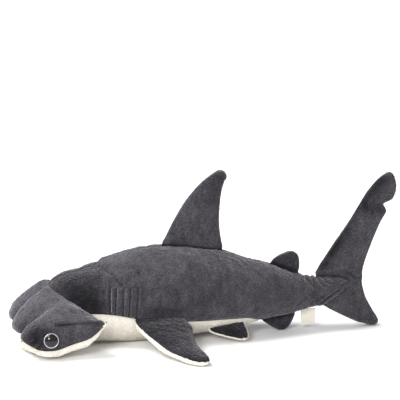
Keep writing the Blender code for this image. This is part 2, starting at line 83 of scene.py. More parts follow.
# Head: columns of its left half from the end's lower seam to the middle, each front to rear
HEAD_TOP = [
    [(-189, -59.3, 20.8), (-182.5, -62, 16), (-172, -63.9, 10.8), (-157, -64.6, 10),
     (-141, -64.2, 15), (-123, -63, 20.4), (-108.4, -61.5, 32.5)],
    [(-188.8, -58.6, 21), (-184.5, -62.4, 19.5), (-174, -64.2, 19), (-160, -64.6, 20.5),
     (-143, -64.4, 23.5), (-125, -63.2, 27), (-107.8, -61.6, 33.2)],
    [(-189.3, -57.5, 21), (-186.5, -60.6, 23.5), (-178.5, -62.6, 28), (-163, -63.4, 34),
     (-144, -63.2, 36), (-126, -62.5, 35.8), (-107.6, -61.7, 34)],
    [(-189.8, -53, 20.5), (-187.8, -53.5, 24.5), (-180, -53.3, 32.8), (-165.5, -52.8, 40),
     (-147, -52, 44), (-128, -51.5, 41.4), (-114.5, -51.5, 34.5)],
    [(-187.8, -48, 20.5), (-185.8, -48.3, 24), (-178.5, -48, 31.6), (-165, -47, 41.6),
     (-148.5, -46, 47.2), (-131, -45.5, 43.4), (-118.5, -45, 35.5)],
    [(-181.8, -43, 20.8), (-180, -42.5, 23), (-174.5, -42, 30.2), (-164, -41, 41.8),
     (-150, -40, 48.8), (-135, -39, 44.6), (-122.5, -39, 36.2)],
    [(-188.3, -38, 21), (-186.5, -37.5, 25.4), (-180.5, -36.5, 33.4), (-168.5, -35.5, 43.2),
     (-153.5, -35, 50), (-140.5, -34.5, 48), (-128, -35.5, 40.6)],
    [(-191.8, -32, 21.2), (-190.2, -31.5, 27), (-184, -31, 35.6), (-172, -30, 46),
     (-158.5, -29.5, 52.8), (-147, -30, 51), (-135.5, -32.5, 46)],
    [(-195, -20, 22), (-193.2, -19.5, 27.6), (-187.4, -18.5, 37), (-178, -17.5, 46.8),
     (-167, -17, 54.4), (-159, -17.5, 57.6), (-152.5, -18.5, 54.8)],
    [(-192.8, -8, 22), (-191, -8, 27), (-185.5, -8, 34.5), (-176, -8, 44.4), (-166.5, -8, 52.4),
     (-160, -8, 57.2), (-156, -8, 58.2)],
    [(-185.6, 0, 22), (-184, 0, 24.6), (-179, 0, 31), (-171.5, 0, 41), (-165, 0, 49),
     (-160.5, 0, 55), (-157, 0, 57.8)],
]
HEAD_BOTTOM = [
    HEAD_TOP[0],
    [(-188.8, -58.6, 20.8), (-183, -61.2, 13), (-172, -63.6, 6.6), (-157.5, -64.2, 5.4),
     (-141, -63.7, 10.4), (-123.5, -62.5, 16.6), (-108.2, -61.5, 32.6)],
    [(-189.3, -57.5, 20.8), (-182.5, -58.5, 14.5), (-172, -60.5, 7.2), (-158, -61, 4.8),
     (-141, -60.5, 8.6), (-123.5, -60, 14.6), (-108, -61.7, 33)],
    [(-189.8, -53, 20.5), (-186, -53, 15.5), (-178, -51.5, 8), (-161, -51, 4),
     (-144.5, -51, 6), (-128, -51.5, 13), (-115, -51.5, 34)],
    [(-187.8, -48, 20.5), (-187, -48, 13.5), (-178.5, -46, 5), (-161.5, -45.5, 2),
     (-145, -45.5, 4), (-129.5, -45.5, 12.5), (-118.5, -45, 36)],
    [(-181.8, -43, 20.8), (-184.8, -42, 12.5), (-178.5, -41, 3.6), (-162, -40, 1), (-146, -39.5, 1.5),
     (-132, -39.5, 12), (-122.5, -39, 36.8)],
    [(-188.3, -38, 21), (-188.4, -37, 13), (-180.5, -35.5, 3), (-163.5, -35, 0.4), (-149, -35, 0.6),
     (-136, -35, 9), (-127, -35.8, 33)],
    [(-191.8, -32, 21.2), (-190.8, -31, 13.5), (-182.5, -30, 3), (-165, -30, 0), (-152, -30, 0.2),
     (-140, -31, 7), (-131.5, -33, 25)],
    [(-195, -20, 22), (-193.2, -20, 13.5), (-185, -19, 3.2), (-168, -18, 0), (-156, -18, 0),
     (-148, -18.5, 3.5), (-141.5, -20, 11.5)],
    [(-192.8, -8, 22), (-191.6, -8, 13.5), (-185, -8, 3.2), (-169, -8, 0), (-158.5, -8, 0),
     (-151, -8, 2.4), (-145.3, -8, 7)],
    [(-185.6, 0, 22), (-188, 0, 13.5), (-182.5, 0, 3.2), (-170, 0, 0), (-160, 0, 0), (-152, 0, 2),
     (-146, 0, 6)],
]
TRAILING_COLUMNS = 5            # columns up to this one share the trailing edge's seam
HEAD_CREASES = [
    [(-185.6, 0, 20), (-184, 0, 24.6), (-179, 0, 31), (-171.5, 0, 41), (-164, 1, 50)],
    [(-181.8, -43, 19), (-180, -42.5, 23), (-174.5, -42, 29.6), (-167, -41.5, 38.2)],
]
DART = [(-158, -63.8, 34.8), (-144, -63.5, 35), (-126, -62.5, 34.6), (-110.5, -61.7, 33.4)]

# Eyes, about 2 mm up and out from the CAD model's, which they stand for
EYE_CENTRE = (-161.4, -65.4, 20.6)
EYE_AXIS = (0.0, -1.0, 0.18)
EYE_RADIUS = 6.3
EYE_HEIGHT = 4.2
EYE_RIM = 0.7
RING_RADIUS = 6.75
RING_WIRE = 0.5

# Fins lie between a front edge and a rear edge, each from inside the body to the tip.
# half is the half thickness at the fin's fullest; hinge is where the cloth starts to bend and
# where it has wholly turned with the fin. edge is a steepness of its own, fullness a run of its
# own from root to tip, and trim how far the dark panel stops short of the front, rear and tip.
FINS = {
    "dorsal_fin": {
        "front": [(-51, 0, 89), (-44, 0, 95.2), (-32.4, 0, 117.6), (-19.3, 0, 138.5),
                  (-5.2, 0, 154.4), (8, 0, 163.8), (15.5, 0, 166.5)],
        "rear": [(19, 0, 80), (17.2, 0, 88.2), (14, 0, 109), (14, 0, 129), (16.5, 0, 149),
                 (21, 0, 160.5), (17.6, 0, 166)],
        "half": 6.6, "hinge": ((-13.2, 0, 90), (-11.2, 0, 106))},
    "second_dorsal_fin": {
        "front": [(62, 0, 66), (66, 0, 71), (73, 0, 76.6), (82, 0, 80), (88, 0, 80.8)],
        "rear": [(96, 0, 52), (95.5, 0, 60.6), (96, 0, 70), (94.2, 0, 77.5), (89.6, 0, 80.6)],
        "half": 4.2, "hinge": ((80, 0, 64), (83.5, 0, 73))},
    "anal_fin": {
        "front": [(54, 0, 18), (58, 0, 11.4), (65, 0, 5.5), (73, 0, 1.4), (78, 0, 0.5)],
        "rear": [(92, 0, 26), (92, 0, 16.9), (89, 0, 8.5), (84.5, 0, 2.4), (79.6, 0, 0.6)],
        "half": 3.6, "hinge": ((74, 0, 17), (76.2, 0, 7))},
    "tail_fin": {
        "front": [(175.5, 0, 0.6), (170, 0, 1.4), (154, 0, 5.8), (136, 0, 14.8), (121, 0, 25),
                  (121, 0, 41), (112.6, 0, 55.6), (123.8, 0, 76), (145.6, 0, 107.8),
                  (156, 0, 125), (163, 0, 136.5), (170.4, 0, 146.5), (179, 0, 154.6),
                  (186, 0, 158), (188.8, 0, 158.6)],
        "rear": [(176.4, 0, 0.9), (178.6, 0, 6), (172, 0, 18), (166, 0, 29), (162, 0, 42),
                 (161.2, 0, 52), (163, 0, 64), (170, 0, 85), (179.2, 0, 107),
                 (185.2, 0, 118.5), (182.2, 0, 126.4), (191.2, 0, 131), (195, 0, 142),
                 (192.4, 0, 154.4), (189.6, 0, 158.4)],
        "half": 6.0, "hinge": ((100, 0, 39), (136, 0, 39)),
        "fullness": [(0, 0.45), (0.15, 0.9), (0.4, 1), (0.7, 0.8), (0.9, 0.7), (1, 0.5)]},
    "pectoral_fin_left": {
        "front": [(-78, -31, 30), (-76.6, -43, 24), (-71.8, -54, 20), (-63.3, -66, 13.8),
                  (-54, -80, 8.4), (-43.5, -94, 6), (-35, -103.2, 4.4), (-27.5, -108, 3.4),
                  (-18.5, -109.4, 3.2)],
        "rear": [(-29, -30, 26), (-27, -42, 23.4), (-23.5, -50, 20), (-24.2, -60, 15.6),
                 (-24, -69, 12.5), (-22.3, -80, 9.2), (-19.8, -92, 7), (-16.2, -102, 5),
                 (-17, -108.4, 3.2)],
        "half": 6.2, "edge": 0.30, "hinge": ((-51, -38, 28), (-49, -54, 21.5)),
        "trim": (0.2, 0.0, 0.6)},
    "pelvic_fin_left": {
        "front": [(-2, -22, 13), (0, -28.4, 9.5), (13, -33.5, 6), (25, -37.4, 3.6),
                  (31, -38.6, 3)],
        "rear": [(35, -20, 16.6), (35.5, -24.2, 14), (37, -31, 9), (36.4, -36, 4.6),
                 (32.6, -38.4, 3)],
        "half": 2.5, "edge": 0.42, "hinge": ((18, -24, 14), (20, -32, 9)),
        "trim": (0.5, 0.2, 0.6)},
}
FULLNESS = [(0, 0.75), (0.2, 0.85), (0.4, 1), (0.7, 0.8), (1, 0.4)]
FIN_EDGE = 0.62                 # how steeply a fin thickens from its edges: the less, the steeper
FIN_EDGE_HALF = 0.05            # half thickness left at the sewn edges
FIN_STOUTEST = 0.42             # half thickness of a narrow fin, as a share of its width
FIN_TIP_START = 0.97            # an upright fin closes from here to its tip
STITCH_DEPTH = 1.45             # how far the gill threads lie under the torso's side

# Stage, in metres: the camera's place and aim, the two lights, and the floor's gap
CAMERA_AT, CAMERA_AIM = (-0.3149, -1.7156, 0.5246), (-0.003, 0.0146, 0.1342)
CAMERA_LENS, CAMERA_SENSOR = 162.6, 36.0
SKY_STRENGTH = 0.56
SUN_AT, SUN_STRENGTH, SUN_SPREAD = (-0.95, 0.15, 1.7), 3.1, 28
WINDOW_AT, WINDOW_AIM = (-0.75, -1.25, 0.85), (-0.16, -0.06, 0.02)
WINDOW_SIZE, WINDOW_WATTS = 0.5, 15.0
FLOOR_GAP = 0.0002
FLOOR_REACH = 6000              # half the floor's width, in millimetres

LABEL_CENTRE_X = 105.5
LABEL_TOP = 20.6
LABEL_SIZE = (15.0, 15.4)
LABEL_FOLD = 0.45               # radius of the fold at the label's lower edge

# ---------------------------------------------------------------- curves and grids


def curve(points, t):
    """Points (or rows of points) at t, from 0 to 1, on a smooth curve through evenly timed ones."""
    p = np.asarray(points, float)
    p = np.concatenate([[2 * p[0] - p[1]], p, [2 * p[-1] - p[-2]]])
    spans = len(p) - 3
    at = np.clip(t, 0, 1) * spans
    i = np.minimum(at.astype(int), spans - 1)
    f = (at - i).reshape([-1] + [1] * (p.ndim - 1))
    p0, p1, p2, p3 = p[i], p[i + 1], p[i + 2], p[i + 3]
    return 0.5 * (2 * p1 + (p2 - p0) * f + (2 * p0 - 5 * p1 + 4 * p2 - p3) * f ** 2
                  + (3 * p1 - p0 - 3 * p2 + p3) * f ** 3)


def table(rows, x):
    """Values at x of a smooth curve through (x, value) rows, held level past its ends."""
    xs, ys = np.array(rows, float).T
    slopes = np.empty(len(xs))
    slopes[1:-1] = (ys[2:] - ys[:-2]) / (xs[2:] - xs[:-2])
    slopes[0] = (ys[1] - ys[0]) / (xs[1] - xs[0])
    slopes[-1] = (ys[-1] - ys[-2]) / (xs[-1] - xs[-2])
    x = np.clip(x, xs[0], xs[-1])
    i = np.clip(np.searchsorted(xs, x, side="right") - 1, 0, len(xs) - 2)
    wide = xs[i + 1] - xs[i]
    f = (x - xs[i]) / wide
    return ((2 * f ** 3 - 3 * f ** 2 + 1) * ys[i] + (3 * f ** 2 - 2 * f ** 3) * ys[i + 1]
            + (f ** 3 - 2 * f ** 2 + f) * slopes[i] * wide
            + (f ** 3 - f ** 2) * slopes[i + 1] * wide)


def ease(low, high, x):
    f = np.clip((np.asarray(x, float) - low) / (high - low), 0, 1)
    return f * f * (3 - 2 * f)


def mirror(points):
    return np.asarray(points, float) * (1, -1, 1)


def unit(vectors):
    return vectors / np.maximum(np.linalg.norm(vectors, axis=-1, keepdims=True), 1e-9)


def normals(grid):
    """Unit normals of a grid [row][column], on the side where columns turn left of rows."""
    return unit(np.cross(np.gradient(grid, axis=1), np.gradient(grid, axis=0)))


def rim_distance(grid, sides):
    """Distance over the surface from the named sides: first or last column, first or last row."""
    across = np.linalg.norm(np.diff(grid, axis=1), axis=-1).cumsum(axis=1)
    across = np.pad(across, ((0, 0), (1, 0)))
    down = np.linalg.norm(np.diff(grid, axis=0), axis=-1).cumsum(axis=0)
    down = np.pad(down, ((1, 0), (0, 0)))
    away = {"left": across, "right": across[:, -1:] - across,
            "first": down, "last": down[-1:] - down}
    return np.min([away[side] for side in sides], axis=0)


def path_distance(points, path, axes=(0, 1, 2)):
    """Distance of each point from a path, and how far along the path (0 to 1) its nearest is."""
    p = points[..., axes]
    q = np.asarray(path, float)[:, axes] if len(path[0]) == 3 else np.asarray(path, float)
    best = np.full(p.shape[:-1], 1e9)
    where = np.zeros(p.shape[:-1])
    for k in range(len(q) - 1):
        leg = q[k + 1] - q[k]
        t = np.clip(((p - q[k]) @ leg) / (leg @ leg), 0, 1)
        d = np.linalg.norm(p - q[k] - t[..., None] * leg, axis=-1)
        nearer = d < best
        best = np.where(nearer, d, best)
        where = np.where(nearer, (k + t) / (len(q) - 1), where)
    return best, where


def lumps(points, size, seed):
    """Smooth random values, about -1 to 1, that change over the given size."""
    flat = points.reshape(-1, 3) / size + seed * 17.3
    return np.array([noise.noise(p) for p in flat.tolist()]).reshape(points.shape[:-1])


# ---------------------------------------------------------------- panels


class Panel:
    """A sheet of plush over a grid of points: it is raised, creased and shaded, then made solid."""

    def __init__(self, grid, outward):
        self.base = np.asarray(grid, float)
        self.normal = normals(self.base)
        middle = self.normal[self.base.shape[0] // 2, self.base.shape[1] // 2]
        self.turned = float(np.dot(middle, outward)) < 0
        if self.turned:
            self.normal = -self.normal
        self.raised = np.zeros(self.base.shape[:-1])
        self.shade = np.ones(self.base.shape[:-1])

    def sew(self, sides, height=PILE, reach=SEAM_REACH, seed=1):
        """Pile that stands up away from the seams, a little uneven, with painted shade within the
        seams.
        """
        self.near = np.exp(-(rim_distance(self.base, sides) / reach) ** 2)
        loose = 1 - self.near
        self.raised += height * loose
        self.raised += 0.7 * lumps(self.base, 26.0, seed) * loose
        self.raised += 0.4 * lumps(self.base, 7.0, seed + 1) * loose
        self.raised += 0.3 * lumps(self.base, 2.4, seed + 2) * loose
        self.raised += 0.22 * np.random.default_rng(seed).standard_normal(loose.shape) * loose
        # Painted shade: the colour darkens into each seam, where the pile dips.
        self.shade -= 0.45 * self.near ** 2
        self.shade += 0.14 * lumps(self.base, 30.0, seed + 3)
        self.shade += 0.16 * lumps(self.base, 6.5, seed + 4)
        return self

    def crease(self, path, depth, width, dark=0.5, axes=(0, 1, 2), swell=0.35, ends=0.12):
        """A groove along a path that fades out towards its ends, between two soft swellings, with
        painted shade in the groove.
        """
        d, t = path_distance(self.base, path, axes)
        fade = ease(0, ends, t) * ease(0, ends, 1 - t) if ends else 1.0
        groove = np.exp(-(d / width) ** 2) * fade
        self.raised -= depth * groove
        self.raised += swell * depth * np.exp(-((d - 2.4 * width) / (1.2 * width)) ** 2) * fade
        # Painted shade at the bottom of the groove; dark says how much.
        self.shade -= dark * groove
        return self

    def tint(self, centre, size, amount, axes=(0, 1, 2)):
        """A soft patch where the colour is made lighter or darker; most uses are painted light or
        painted shade.
        """
        away = (self.base[..., axes] - np.asarray(centre, float)) / np.asarray(size, float)
        self.shade += amount * np.exp(-(away ** 2).sum(axis=-1))
        return self

    def streak(self, path, width, amount, axes=(0, 1, 2)):
        """A band along a path where the colour is made lighter or darker; on the head's lobe crests
        it is a painted highlight.
        """
        d, _ = path_distance(self.base, path, axes)
        self.shade += amount * np.exp(-(d / width) ** 2)
        return self

    def dent(self, centre, radius, depth):
        away = np.linalg.norm(self.base - np.asarray(centre, float), axis=-1)
        self.raised -= depth * np.exp(-(away / radius) ** 2)
        return self

    def make(self, name, material):
        outer = self.base + self.normal * self.raised[..., None]
        inner = self.base - self.normal * FABRIC
        outer[..., 2] = np.maximum(outer[..., 2], 0.0)
        inner[..., 2] = np.maximum(inner[..., 2], 0.4)
        return shell(name, outer, inner, self.shade, self.turned, material)


def shell(name, outer, inner, shade, turned, material):
    """Closed mesh between two sheets of the same grid."""
    rows, columns = outer.shape[:2]
    count = rows * columns
    index = np.arange(count).reshape(rows, columns)
    a, b, c, d = index[:-1, :-1], index[:-1, 1:], index[1:, 1:], index[1:, :-1]
    top = np.stack([a, b, c, d], axis=-1).reshape(-1, 4)
    rim = np.concatenate([index[0, :-1], index[:-1, -1], index[-1, :0:-1], index[:0:-1, 0]])
    ahead = np.roll(rim, -1)
    wall = np.stack([ahead, rim, rim + count, ahead + count], axis=-1)
    faces = np.concatenate([top, top[:, ::-1] + count, wall])
    if turned:
        faces = faces[:, ::-1]
    points = np.concatenate([outer.reshape(-1, 3), inner.reshape(-1, 3)])
    made = mesh_object(name, points, faces.tolist(), material)
    values = np.concatenate([shade.ravel(), np.full(count, BACKING_SHADE)])
    add_shade(made, np.clip(values, *SHADE_LIMITS))
    return made


def add_shade(made, values):
    """The "shade" that the plush material reads at each point."""
    shade = made.data.attributes.new("shade", "FLOAT", "POINT")
    shade.data.foreach_set("value", values.astype(np.float32))


def mesh_object(name, points, faces, material):
    """Smooth object out of points in millimetres and lists of point numbers."""
    mesh = bpy.data.meshes.new(name)
    mesh.from_pydata((np.asarray(points, float) * MM).tolist(), [], faces)
    mesh.shade_smooth()
    mesh.materials.append(material)
    made = bpy.data.objects.new(name, mesh)
    bpy.context.collection.objects.link(made)
    return made


def lathe(name, profile, centre, axis, sides, material):
    """Solid of revolution of (radius, distance along the axis) points; a ring if it comes round."""
    turn = np.array(Vector(axis).normalized().to_track_quat("Z", "Y").to_matrix())
    angles = np.linspace(0, 2 * math.pi, sides, endpoint=False)
    rings = [np.stack([r * np.cos(angles), r * np.sin(angles), np.full(sides, z)], axis=-1)
             for r, z in profile]
    points = np.concatenate(rings) @ turn.T + np.asarray(centre)
    closed = profile[0] == profile[-1]
    if closed:
        points = points[:-sides]
    count = len(points)
    faces = []
    for j in range(len(profile) - 1):
        for k in range(sides):
            a, b = j * sides + k, j * sides + (k + 1) % sides
            faces.append([a, b, (b + sides) % count, (a + sides) % count])
    if not closed:
        hub = [np.asarray(centre) + turn @ (0, 0, profile[k][1]) for k in (0, -1)]
        points = np.concatenate([points, hub])
        last = count - sides
        faces += [[(k + 1) % sides, k, count, count] for k in range(sides)]
        faces += [[last + k, last + (k + 1) % sides, count + 1, count + 1] for k in range(sides)]
    faces = [f[:3] if f[2] == f[3] else f for f in faces]
    return mesh_object(name, points, faces, material)


def thread(name, path, radius, material, sides=8):
    """Round thread along a path, with closed ends."""
    path = np.asarray(path, float)
    ahead = unit(np.gradient(path, axis=0))
    side = unit(np.cross(ahead, (0.0, 0.0, 1.0)) + 1e-6)
    up = np.cross(side, ahead)
    angles = np.linspace(0, 2 * math.pi, sides, endpoint=False)
    rings = [path + radius * (math.cos(a) * side + math.sin(a) * up) for a in angles]
    points = np.stack(rings, axis=1).reshape(-1, 3)
    faces = []
    for j in range(len(path) - 1):
        for k in range(sides):
            a, b = j * sides + k, j * sides + (k + 1) % sides
            faces.append([a, b, b + sides, a + sides])
    faces.append(list(range(sides))[::-1])
    faces.append(list(range(len(points) - sides, len(points))))
    return mesh_object(name, points, faces, material)


# ---------------------------------------------------------------- materials


class Nodes:
    """A material's node tree, with short ways to add and join nodes."""

    def __init__(self, name):
        self.material = bpy.data.materials.new(name)
        self.material.use_nodes = True
        self.tree = self.material.node_tree
        self.shader = self.tree.nodes["Principled BSDF"]

    def add(self, kind, inputs=(), **settings):
        node = self.tree.nodes.new(kind)
        for key, value in settings.items():
            setattr(node, key, value)
        for key, value in dict(inputs).items():
            if isinstance(value, bpy.types.NodeSocket):
                self.tree.links.new(value, node.inputs[key])
            else:
                node.inputs[key].default_value = value
        return node

    def noise(self, scale, detail=2.0, stretch=(1, 1, 1)):
        """A noise that varies about scale times per metre, stretched along the axes."""
        place = self.add("ShaderNodeTexCoord").outputs["Object"]
        mapped = self.add("ShaderNodeMapping", {"Vector": place, "Scale": stretch})
        made = self.add("ShaderNodeTexNoise", {"Vector": mapped.outputs["Vector"],
                                               "Scale": scale, "Detail": detail})
        return made.outputs["Fac"]

    def spread(self, value, low, high):
        """The middle of a noise's range stretched to low and high."""
        made = self.add("ShaderNodeMapRange", {"Value": value, "From Min": 0.3, "From Max": 0.7,
                                               "To Min": low, "To Max": high})
        return made.outputs["Result"]

    def maths(self, operation, a, b):
        return self.add("ShaderNodeMath", {0: a, 1: b}, operation=operation).outputs[0]

    def finish(self, **sockets):
        for key, value in sockets.items():
            socket = self.shader.inputs[key.replace("_", " ")]
            if isinstance(value, bpy.types.NodeSocket):
                self.tree.links.new(value, socket)
            else:
                socket.default_value = value
        return self.material


def plush(name, deep, pale, sheen, tint):
    """Short brushed pile: tufts and streaks where the nap leans, times "shade", which carries uneven
    tone and the painted light and shade, such as the painted shade in the seams.
    """
    n = Nodes(name)
    tufts = n.spread(n.noise(620, 3.0), 0.55, 1.45)
    streaks = n.spread(n.noise(150, 3.0, (1.0, 1.0, 0.4)), 0.76, 1.24)
    patches = n.spread(n.noise(48, 2.0), 0.84, 1.16)
    shade = n.add("ShaderNodeAttribute", attribute_name="shade").outputs["Fac"]
    light = n.maths("MULTIPLY", n.maths("MULTIPLY", tufts, streaks),
                    n.maths("MULTIPLY", patches, shade))
    share = n.add("ShaderNodeMapRange", {"Value": light, "From Min": 0.2, "From Max": 1.7})
    colour = n.add("ShaderNodeMix", {"Factor": share.outputs["Result"], "A": deep, "B": pale},
                   data_type="RGBA")
    grain = n.add("ShaderNodeBump", {"Height": n.noise(800, 3.0), "Strength": 0.8,
                                     "Distance": 0.0012})
    waves = n.add("ShaderNodeBump", {"Height": n.noise(260, 2.0, (1.0, 1.0, 0.5)),
                                     "Strength": 0.45, "Distance": 0.002,
                                     "Normal": grain.outputs["Normal"]})
    return n.finish(Base_Color=colour.outputs["Result"], Roughness=0.94,
                    Specular_IOR_Level=0.15, Sheen_Weight=sheen, Sheen_Roughness=0.42,
                    Sheen_Tint=tint, Normal=waves.outputs["Normal"])


def glossy_plastic():
    n = Nodes("eye_black")
    cloud = n.noise(220, 2.0)
    deep = (0.004, 0.0038, 0.0042, 1)
    colour = n.add("ShaderNodeMix", {"Factor": cloud, "A": deep, "B": (0.012, 0.010, 0.009, 1)},
                   data_type="RGBA")
    rough = n.spread(n.noise(700, 2.0), 0.02, 0.05)
    return n.finish(Base_Color=colour.outputs["Result"], Roughness=rough, Specular_IOR_Level=0.45)


def ring_plastic():
    n = Nodes("eye_ring")
    wear = n.spread(n.noise(900, 3.0), 0.16, 0.34)
    colour = n.add("ShaderNodeMix", {"Factor": n.noise(500, 2.0), "A": (0.48, 0.49, 0.52, 1),
                                     "B": (0.66, 0.67, 0.70, 1)}, data_type="RGBA")
    return n.finish(Base_Color=colour.outputs["Result"], Roughness=wear, Metallic=0.55)


def washer_plastic():
    n = Nodes("washer")
    colour = n.add("ShaderNodeMix", {"Factor": n.noise(400, 2.0), "A": (0.72, 0.72, 0.70, 1),
                                     "B": (0.84, 0.84, 0.82, 1)}, data_type="RGBA")
    rough = n.spread(n.noise(900, 2.0), 0.4, 0.6)
    return n.finish(Base_Color=colour.outputs["Result"], Roughness=rough)


def ribbon():
    """Cream satin ribbon: fine ribs across it and a slight yellowing."""
    n = Nodes("label")
    place = n.add("ShaderNodeTexCoord").outputs["Object"]
    ribs = n.add("ShaderNodeTexWave", {"Vector": place, "Scale": 420.0, "Distortion": 0.6,
                                       "Detail": 1.0}, bands_direction="Z")
    warp = n.add("ShaderNodeTexWave", {"Vector": place, "Scale": 420.0, "Distortion": 0.6,
                                       "Detail": 1.0}, bands_direction="X")
    weave = n.maths("MULTIPLY", ribs.outputs["Fac"], warp.outputs["Fac"])
    fade = n.maths("MULTIPLY", n.spread(n.noise(160, 3.0), 0.3, 1.0), weave)
    colour = n.add("ShaderNodeMix", {"Factor": fade, "A": (0.80, 0.74, 0.64, 1),
                                     "B": (1.0, 0.97, 0.90, 1)}, data_type="RGBA")
    bump = n.add("ShaderNodeBump", {"Height": weave, "Strength": 0.4, "Distance": 0.0003})
    return n.finish(Base_Color=colour.outputs["Result"], Roughness=0.62, Sheen_Weight=0.3,
                    Normal=bump.outputs["Normal"])


def sewing_thread():
    n = Nodes("thread")
    twist = n.noise(1500, 2.0, (1.0, 1.0, 0.3))
    colour = n.add("ShaderNodeMix", {"Factor": twist, "A": (0.012, 0.012, 0.015, 1),
                                     "B": (0.05, 0.05, 0.06, 1)}, data_type="RGBA")
    bump = n.add("ShaderNodeBump", {"Height": twist, "Strength": 0.5, "Distance": 0.0003})
    return n.finish(Base_Color=colour.outputs["Result"], Roughness=0.8,
                    Normal=bump.outputs["Normal"])


DARK = plush("plush_dark", (0.007, 0.0065, 0.0085, 1), (0.084, 0.078, 0.090, 1), 0.75,
             (0.58, 0.56, 0.61, 1))
WHITE = plush("plush_white", (0.60, 0.55, 0.46, 1), (0.93, 0.90, 0.845, 1), 0.2,
              (1.0, 0.98, 0.94, 1))
EYE_BLACK = glossy_plastic()
EYE_RING = ring_plastic()
WASHER = washer_plastic()
LABEL = ribbon()
THREAD = sewing_thread()


# ---------------------------------------------------------------- torso


def section(x):
    """Half width, back height, belly height and side height of the torso at x."""
    round_part = np.sqrt(np.maximum(NECK_RADIUS ** 2 - (x - NECK_CENTRE[0]) ** 2, 0.01))
    neck = x < NECK_CENTRE[0]
    width = np.where(neck, round_part, table(HALF_WIDTH, x))
    top = np.where(neck, NECK_CENTRE[2] + round_part, table(BACK_HEIGHT, x))
    bottom = np.where(neck, NECK_CENTRE[2] - round_part, table(BELLY_HEIGHT, x))
    return width, top, bottom, (top + bottom) / 2


def torso_point(x, degrees, inset=0.0):
    """Points of the torso's left side: 0 degrees is the side, 90 the back, -90 the belly."""
    width, top, bottom, side = section(x)
    angle = np.radians(degrees)
    y = -np.maximum(width - inset, 0.2) * np.cos(angle)
    z = side + np.maximum(top - side - inset, 0.2) * np.sin(angle)
    return np.stack([x + 0 * y, y, np.maximum(z, 0.0)], axis=-1)


def torso_grid(along, low, high, columns):
    """Grid over the torso: rows along x, columns from one angle to the other."""
    share = np.linspace(0, 1, columns)[None, :]
    x = along[:, None] + 0 * share
    angles = low[:, None] + (high - low)[:, None] * share
    return torso_point(x, angles, PILE)


def seam_angle(x):
    return np.where(x <= SEAM_END, table(SEAM_ANGLE, x), -90.0)


def spaced(*stretches):
    """Places along a line: each stretch is (start, end, step)."""
    parts = [np.arange(start, end, step) for start, end, step in stretches]
    return np.concatenate(parts + [[stretches[-1][1]]])


def gill_path(gill):
    x_top, x_bottom, low = gill
    return [(x_top, GILL_TOP), ((x_top + x_bottom) / 2 - 0.3, (GILL_TOP + low) / 2),
            (x_bottom, low)]


# The darkness in each row is painted shade in that groove.
BODY_CREASES = [                # (path seen from the side, depth, width, darkness)
    ([(-114, 82), (-104, 76), (-97, 72), (-91, 65), (-87, 61)], 1.8, 2.2, 0.42),
    ([(-120, 78), (-112, 76), (-104, 71)], 1.0, 2.4, 0.2),
    ([(-57, 92), (-62, 84), (-70, 78), (-74, 70)], 0.8, 2.4, 0.15),
    ([(-66, 38), (-54, 40), (-40, 38), (-30, 34)], 0.9, 3.0, 0.22),
    ([(100, 56), (104, 49), (110, 43)], 1.0, 1.5, 0.25),
    ([(107, 55), (109, 48), (115, 41)], 1.2, 1.4, 0.30),
    ([(112.5, 55), (115, 49), (120, 44)], 1.2, 1.3, 0.30),
    ([(118, 55), (121, 50), (127, 47)], 0.9, 1.2, 0.22),
    ([(112, 27), (119, 31.5), (128, 38.5), (137, 44)], 1.5, 1.4, 0.42),
    ([(104, 31), (112, 34), (120, 39)], 0.8, 1.8, 0.18),
]


def back_panel(flip):
    along = spaced((TORSO_START, -106.0, 1.15), (-106.0, -68.0, 0.6), (-68.0, 96.0, 1.15),
                   (96.0, TORSO_END, 0.8))
    grid = torso_grid(along, seam_angle(along), np.full(len(along), 90.0), 104)
    outward = np.array([0, -1.0, 0])
    panel = Panel(grid * (1, flip, 1), outward * (1, flip, 1))
    panel.sew(["left", "right"], seed=3 if flip > 0 else 11)
    sideways = (0, 2)
    # Each gill tuck and body crease has painted shade in its groove.
    for gill in GILLS:
        panel.crease(gill_path(gill), 1.9, 1.0, 0.62, sideways, swell=0.7, ends=0.1)
    for path, depth, width, dark in BODY_CREASES:
        panel.crease(path, depth, width, dark, sideways)
    panel.dent((-133, 0, 74), 22, 1.8)
    panel.dent((-85, 0, 90), 26, 0.8)
    # Painted shade along the pectoral fin's root and low on the side, and painted light on the top of
    # the back; darker patches behind the neck seam, and a faintly lighter one over the gills.
    panel.tint((-136, 54), (24, 24), -0.78, sideways)
    panel.tint((-112, 46), (14, 16), -0.35, sideways)
    panel.tint((-80, 84), (40, 12), 0.28, sideways)
    panel.tint((-52, 34), (26, 8), -0.25, sideways)
    panel.tint((40, 30), (60, 9), -0.12, sideways)
    panel.tint((-88, 48), (18, 14), 0.05, sideways)
    name = "back_panel_left" if flip > 0 else "back_panel_right"
    made = panel.make(name, DARK)
    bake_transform(made)
    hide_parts(name)
    return made


def belly():
    along = spaced((TORSO_START, SEAM_END, 1.2))
    low = -180.0 - seam_angle(along)
    panel = Panel(torso_grid(along, seam_angle(along), low, 110), (0, 0, -1))
    panel.sew(["left", "right"], seed=23)
    # Painted shade: the belly, which faces the floor, is darker overall and darkest along its lower
    # sides.
    panel.shade -= 0.12
    for flip in (1, -1):
        panel.tint((-60, -30 * flip, 6), (80, 18, 12), -0.4)
    made = panel.make("belly_panel", WHITE)
    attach(made, "torso")
    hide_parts("belly_panel", "torso_stuffing")


def side_y(x, z):
    """Half width of the torso at x and at the height z."""
    width, top, _, side = section(x)
    return width * np.sqrt(np.maximum(1 - ((z - side) / (top - side)) ** 2, 0))


